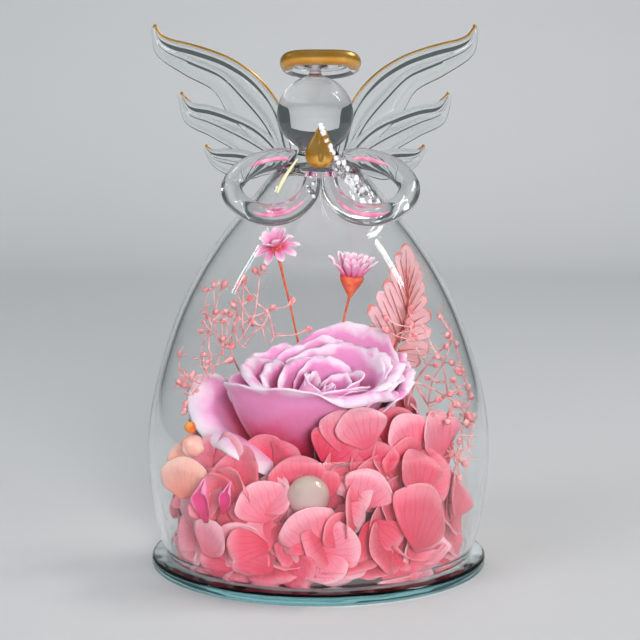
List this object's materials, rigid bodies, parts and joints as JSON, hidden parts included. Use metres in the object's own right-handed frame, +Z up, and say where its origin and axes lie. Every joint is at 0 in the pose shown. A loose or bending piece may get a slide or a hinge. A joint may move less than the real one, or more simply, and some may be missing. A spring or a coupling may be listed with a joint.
{
  "type": "preserved flower arrangement in a glass dome",
  "caption": "Preserved rose with hydrangea florets and sprays, sealed in a blown glass dome shaped as a winged, haloed figure, on a flat glass disc.",
  "frame": {"origin": "centre of the base disc's underside", "axes": "+Z up through the dome and the head, -Y the front, where the arms and the hands are"},
  "size_m": [0.0922, 0.0922, 0.1453],
  "materials": {
    "clear_glass": "clear blown glass",
    "gold_lustre": "gold lustre fired on glass",
    "foam": "dry floral foam",
    "rose_petal": "satin preserved petal",
    "stem": "dry stem",
    "pearl": "pearl lustre",
    "hydrangea_petal": "dry veined petal",
    "fern": "dyed dry leaf",
    "star_flower": "dyed dry flower",
    "gypsophila": "dyed dry twig"
  },
  "bodies": {
    "root": {"base_disc": "clear_glass", "dome": "clear_glass", "head": "clear_glass", "halo": "gold_lustre", "halo_stem": "clear_glass", "left_wing": "clear_glass", "right_wing": "clear_glass", "left_arm": "clear_glass", "right_arm": "clear_glass", "praying_hands": "gold_lustre", "flower_foam": "foam", "rose_calyx": "stem", "rose_heart": "rose_petal", "rose_petal_1": "rose_petal", "rose_petal_2": "rose_petal", "rose_petal_3": "rose_petal", "rose_petal_4": "rose_petal", "rose_petal_5": "rose_petal", "rose_petal_6": "rose_petal", "rose_petal_7": "rose_petal", "rose_petal_8": "rose_petal", "rose_petal_9": "rose_petal", "rose_petal_10": "rose_petal", "rose_petal_11": "rose_petal", "pearl": "pearl", "hydrangea_floret_1": "hydrangea_petal", "hydrangea_floret_2": "hydrangea_petal", "hydrangea_floret_3": "hydrangea_petal", "hydrangea_floret_4": "hydrangea_petal", "hydrangea_floret_5": "hydrangea_petal", "hydrangea_floret_6": "hydrangea_petal", "hydrangea_floret_7": "hydrangea_petal", "hydrangea_floret_8": "hydrangea_petal", "hydrangea_floret_9": "hydrangea_petal", "hydrangea_floret_10": "hydrangea_petal", "hydrangea_floret_11": "hydrangea_petal", "hydrangea_floret_12": "hydrangea_petal", "hydrangea_floret_13": "hydrangea_petal", "hydrangea_floret_14": "hydrangea_petal", "hydrangea_floret_15": "hydrangea_petal", "hydrangea_floret_16": "hydrangea_petal", "hydrangea_floret_17": "hydrangea_petal", "fern_leaf": "fern", "left_star_flower": "star_flower", "right_star_flower": "star_flower", "gypsophila_left_tall": "gypsophila", "gypsophila_left_middle": "gypsophila", "gypsophila_left_low": "gypsophila", "gypsophila_right_tall": "gypsophila", "gypsophila_right_middle": "gypsophila", "gypsophila_right_low": "gypsophila"}
  },
  "joints": []
}
